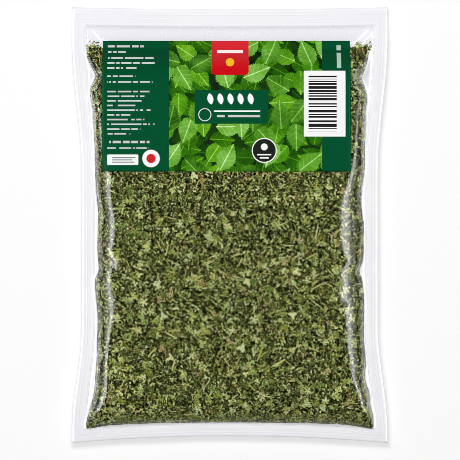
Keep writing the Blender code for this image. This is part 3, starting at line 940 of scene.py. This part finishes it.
def disc(place, x, y, radius):
    """A mask that is 1 inside a disc, given in pixels too."""
    away = vector_of("MULTIPLY", vector_of("SUBTRACT", place, (px(x), py(y), 0)), (1, 1, 0))
    low, high = (radius - 0.35) * LABEL_PIXEL, (radius + 0.35) * LABEL_PIXEL
    return ranged(vector_of("LENGTH", away), low, high, 1.0, 0.0)


def printed_leaves(place, under, pitch, seed, dark, light):
    """One printed layer of plain toothed leaves, each in its own cell and turned its own way."""
    tree = place.id_data
    shifted = vector_of("MULTIPLY_ADD", place, (1 / pitch, 1 / pitch, 0), (seed * 3.7, seed * 5.3, 0))
    cells = node(tree, "ShaderNodeTexVoronoi", {"voronoi_dimensions": "2D"}, {
        "Vector": shifted, "Scale": 1.0, "Randomness": 0.85}).outputs
    draws = node(tree, "ShaderNodeSeparateColor", None, {0: cells["Color"]}).outputs
    away = vector_of("SUBTRACT", shifted, cells["Position"])
    turned = node(tree, "ShaderNodeVectorRotate", {"rotation_type": "Z_AXIS"}, {
        "Vector": away, "Angle": times(draws[0], 6.283)}).outputs[0]
    parts = node(tree, "ShaderNodeSeparateXYZ", None, {0: turned}).outputs
    along, aside = parts[0], sum_of("ABSOLUTE", parts[1])
    leaf_length = 0.56
    share = sum_of("DIVIDE", along, leaf_length)
    belly = times(sum_of("SUBTRACT", 1.0, times(share, share)), sum_of("SUBTRACT", 0.37, times(share, 0.15)))
    slant = sum_of("SUBTRACT", along, times(aside, 0.7))
    edge = plus(belly, times(sum_of("FRACT", times(slant, 11.0)), -0.055))
    inside = ranged(sum_of("SUBTRACT", edge, aside), 0.0, 0.02)
    middle_vein = ranged(aside, 0.0, 0.035, 0.55, 0.0)
    side_veins = ranged(sum_of("PINGPONG", times(slant, 5.5), 0.5), 0.0, 0.10, 0.22, 0.0)
    tone = plus(times(draws[1], 0.6), times(noise(place, 0.5 * pitch), 0.8))
    tone = plus(tone, plus(middle_vein, plus(side_veins, -0.35)))
    return over(inside, under, ramp(tone, (0.0, dark), (0.45, light[0]), (0.8, light[1]), (1.0, light[2])))


def drawn_in_steps(value, size, shift):
    """A number drawn at random for each step along the label."""
    step = plus(sum_of("FLOOR", sum_of("DIVIDE", value, size)), shift)
    made = node(step.id_data, "ShaderNodeTexWhiteNoise", {"noise_dimensions": "1D"}, {"W": step})
    return made.outputs["Value"]


# Coated paper printed in full colour, with a satin varnish. The side panels are dark green, the middle is a
# picture of leaves, and rules stand where a label has its small print.
PRINTED_LEAVES = (
    (0.024, 1, "#061f02", ("#184206", "#2c6a0e", "#46801e")),
    (0.021, 4, "#0a2a02", ("#2a660a", "#4c8e16", "#79b035")),
    (0.023, 9, "#123a04", ("#468a0e", "#72b026", "#a4d266")),
    (0.026, 14, "#1e4e0a", ("#5c9c2a", "#8cc45c", "#c2e4a4")),
)
paper, tree = new_material("printed_coated_paper")
place = node(tree, "ShaderNodeTexCoord").outputs["Object"]
across = node(tree, "ShaderNodeSeparateXYZ", None, {0: place}).outputs
ink = ramp(noise(place, 0.016), (0.35, "#020c01"), (0.55, "#0c2c04"), (0.75, "#1e4c0a"))
for leaves in PRINTED_LEAVES:
    ink = printed_leaves(place, ink, *leaves)
GREEN, WHITE, YELLOW, RED = linear("#014527"), linear("#f2f2f2"), linear("#f0b429"), linear("#c9252c")
PALE_GREEN, GREY, BLACK = linear("#a9c4b6"), linear("#6b7a72"), linear("#10150f")
# The red tab grows lighter towards its top: a painted sheen where the label bends over the slope of the fill
TAB_SHEEN_ROWS = (70, 41)
tab_sheen = ranged(across[1], py(TAB_SHEEN_ROWS[0]), py(TAB_SHEEN_ROWS[1]))
tab_red = ramp(tab_sheen, (0.0, "#c30d18"), (1.0, "#cf2c35"))
# What is printed over the leaves, from the lowest up: boxes by their corners and discs by centre and radius
PRINTED = (
    (patch, (95, 35, 169.4, 178), GREEN), (patch, (321.5, 35, 360, 178), GREEN),
    (patch, (211.7, 20, 248.6, 76, 4.0), tab_red), (patch, (217, 50.5, 243, 53.5), WHITE),
    (disc, (230, 63, 4.2), YELLOW), (patch, (195, 91, 268, 124.5), GREEN),
    (patch, (214, 111.3, 260, 112.7), WHITE),
    (disc, (205, 115.5, 6.4), WHITE), (disc, (205, 115.5, 5.7), GREEN),
    (patch, (336.3, 45.5, 340.6, 50.6), PALE_GREEN), (patch, (336.3, 53.2, 340.6, 69.0), PALE_GREEN),
    (patch, (303.3, 71.7, 344.7, 137.2), WHITE), (patch, (108, 155, 139, 165.5, 1.2), WHITE),
    (patch, (113, 157.7, 136, 158.7), GREY), (patch, (113, 159.9, 133, 160.9), GREY),
    (patch, (113, 162.1, 135, 163.1), GREY), (disc, (151.6, 159, 8.7), WHITE), (disc, (151.6, 159, 4.6), RED),
    (disc, (264, 151, 12.4), WHITE), (disc, (264, 151, 11.4), BLACK), (disc, (264, 147.5, 3.4), WHITE),
    (patch, (257, 154.5, 271, 155.9), WHITE), (patch, (259.5, 157.7, 268.5, 159.1), WHITE),
)
for shape, sizes, colour in PRINTED:
    ink = over(shape(place, *sizes), ink, colour)
# The row of plain leaf marks, each where two discs cross
MARK_COLUMNS = (210.5, 220.5, 230.5, 240.5, 250.5)
MARK_ROWS = (100.5, 99.0)
MARK_RADIUS, MARK_SHIFT = 7.0, 4.0
for column in MARK_COLUMNS:
    left = disc(place, column - MARK_SHIFT, MARK_ROWS[0], MARK_RADIUS)
    right = disc(place, column + MARK_SHIFT, MARK_ROWS[1], MARK_RADIUS)
    ink = over(times(left, right), ink, WHITE)

# The bars in the white box: each step is dark or bare at random
BARS = (308, 76.7, 336, 132)
BAR_STEP = 0.00062
bars = sum_of("GREATER_THAN", drawn_in_steps(across[1], BAR_STEP, 0.0), 0.45)
ink = over(times(bars, patch(place, *BARS)), ink, linear("#141414"))

# The rules that stand for small print: (left end, row, right end, height), broken at random
WORD_STEP = 0.0016
SMALL_PRINT = (
    (108, 46.6, 145, 2.0), (108, 52.3, 126, 2.0), (108, 58.7, 155, 1.8), (108, 63.8, 155, 1.8),
    (108, 68.9, 137, 1.9), (108, 77.2, 136, 1.5), (108, 82.9, 153, 1.5), (108, 92.5, 150, 1.5),
    (108, 97.2, 145, 1.5), (108, 101.7, 143, 1.5), (108, 106.3, 136, 1.5), (108, 111.0, 151, 1.5),
    (108, 115.7, 131, 1.5), (108, 120.3, 145, 1.5), (108, 125.0, 155, 1.5), (108, 129.8, 141, 1.5),
    (108, 134.4, 131, 1.5), (108, 142.6, 150, 2.4), (108, 148.6, 149, 1.3), (217, 116.9, 260, 2.2),
)
rules = 0.0
for number, (left_end, row, right_end, high) in enumerate(SMALL_PRINT):
    words = sum_of("GREATER_THAN", drawn_in_steps(across[0], WORD_STEP, 71.0 * number), 0.16)
    rule = patch(place, left_end, row - high / 2, right_end, row + high / 2, 0.2)
    rules = sum_of("MAXIMUM", rules, times(rule, words))
ink = over(times(rules, 0.72), ink, WHITE)
solid_surface(tree, ink, 0.45, 0.06, (0.0006, 3.0), 0.25, 0.0001)
label.data.materials.append(paper)
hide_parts("label")
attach(label, "root")


# The studio: a plain pale floor that glows a little, as a light table does, a pale room with bright banks on
# both sides that only the film mirrors, two soft lamps above, and a camera that looks straight down.
def softbox(name, size, place, power):
    """A rectangular lamp, aimed at the pouch."""
    lamp = bpy.data.lights.new(name, "AREA")
    lamp.shape, lamp.size, lamp.size_y, lamp.energy = "RECTANGLE", size[0], size[1], power
    made = add_object(name, lamp)
    made.location = place
    made.rotation_euler = (Vector((0, 0, 0)) - Vector(place)).to_track_quat("-Z", "Y").to_euler()
    made.visible_camera = False
    made.visible_glossy = False


FLOOR_LEVEL = -0.0003
FLOOR_CORNERS = ((-9, -9), (9, -9), (9, 9), (-9, 9))
floor_mesh = bpy.data.meshes.new("floor")
floor_mesh.from_pydata([(x, y, FLOOR_LEVEL) for x, y in FLOOR_CORNERS], [], [(0, 1, 2, 3)])
floor = add_object("floor", floor_mesh)
floor_paint, tree = new_material("matt_white_floor")
surface = node(tree, "ShaderNodeBsdfPrincipled", None, {
    "Base Color": linear("#bebebe"), "Roughness": 0.9, "Specular IOR Level": 0.0,
    "Emission Color": linear("#ffffff"), "Emission Strength": 0.48})
node(tree, "ShaderNodeOutputMaterial", None, {"Surface": surface.outputs[0]})
floor_paint.cycles.emission_sampling = "NONE"
floor_mesh.materials.append(floor_paint)
floor.visible_glossy = False

world = bpy.data.worlds.new("pale_room")
bpy.context.scene.world = world
world.use_nodes = True
tree = world.node_tree
tree.nodes.clear()
rays = node(tree, "ShaderNodeLightPath").outputs
towards = node(tree, "ShaderNodeTexCoord").outputs["Generated"]
heading = node(tree, "ShaderNodeSeparateXYZ", None, {0: towards}).outputs
across, along, up = sum_of("ABSOLUTE", heading[0]), sum_of("ABSOLUTE", heading[1]), heading[2]


def between(value, low, high, start, end):
    """The same as ranged, with a soft start and end."""
    return ranged(value, low, high, start, end, "SMOOTHSTEP")


below = sum_of("MAXIMUM", times(up, -0.5), 0.0)
floor_glow = between(below, 0.28, 0.40, 0.03, 0.60)
banks = times(between(across, 0.23, 0.50, 0.0, 10.0), between(across, 0.70, 0.99, 1.0, 0.16))
banks = times(banks, between(up, -0.25, 0.05, 0.0, 1.0))
banks = times(banks, between(along, 0.46, 0.60, 1.0, 0.0))
lower_walls = between(sum_of("ABSOLUTE", up), 0.25, 0.65, 0.60, 0.0)
seen_in_film = node(tree, "ShaderNodeMix", {"data_type": "FLOAT"}, {
    0: rays["Is Glossy Ray"], 2: lower_walls, 3: plus(floor_glow, banks)}).outputs[0]
strength = node(tree, "ShaderNodeMix", {"data_type": "FLOAT"}, {
    0: rays["Is Camera Ray"], 2: seen_in_film, 3: 1.0}).outputs[0]
room = node(tree, "ShaderNodeBackground", None, {"Color": linear("#fcfcfd"), "Strength": strength})
node(tree, "ShaderNodeOutputWorld", None, {"Surface": room.outputs[0]})

softbox("key", (0.50, 0.40), (-0.15, 0.50, 1.84), 22)
softbox("overhead", (1.0, 1.0), (0.0, 0.0, 2.20), 15)

LENS = 300.0
SENSOR = 36.0
FRAME_PIXELS = 460
SEAL_PLANE = 0.018
CLOSER = 1.004           # how much larger the pouch is seen than PIXEL says
camera = add_object("camera", bpy.data.cameras.new("camera"))
camera.data.lens, camera.data.sensor_width = LENS, SENSOR
camera.data.clip_end = 100.0
camera.location = (*CAMERA_PLACE, SEAL_PLANE + FRAME_PIXELS * PIXEL / CLOSER * LENS / SENSOR)
bpy.context.scene.camera = camera
bpy.context.scene.view_settings.view_transform = "Standard"
bpy.context.scene.cycles.transparent_max_bounces = 32
bpy.context.scene.cycles.filter_width = 0.6
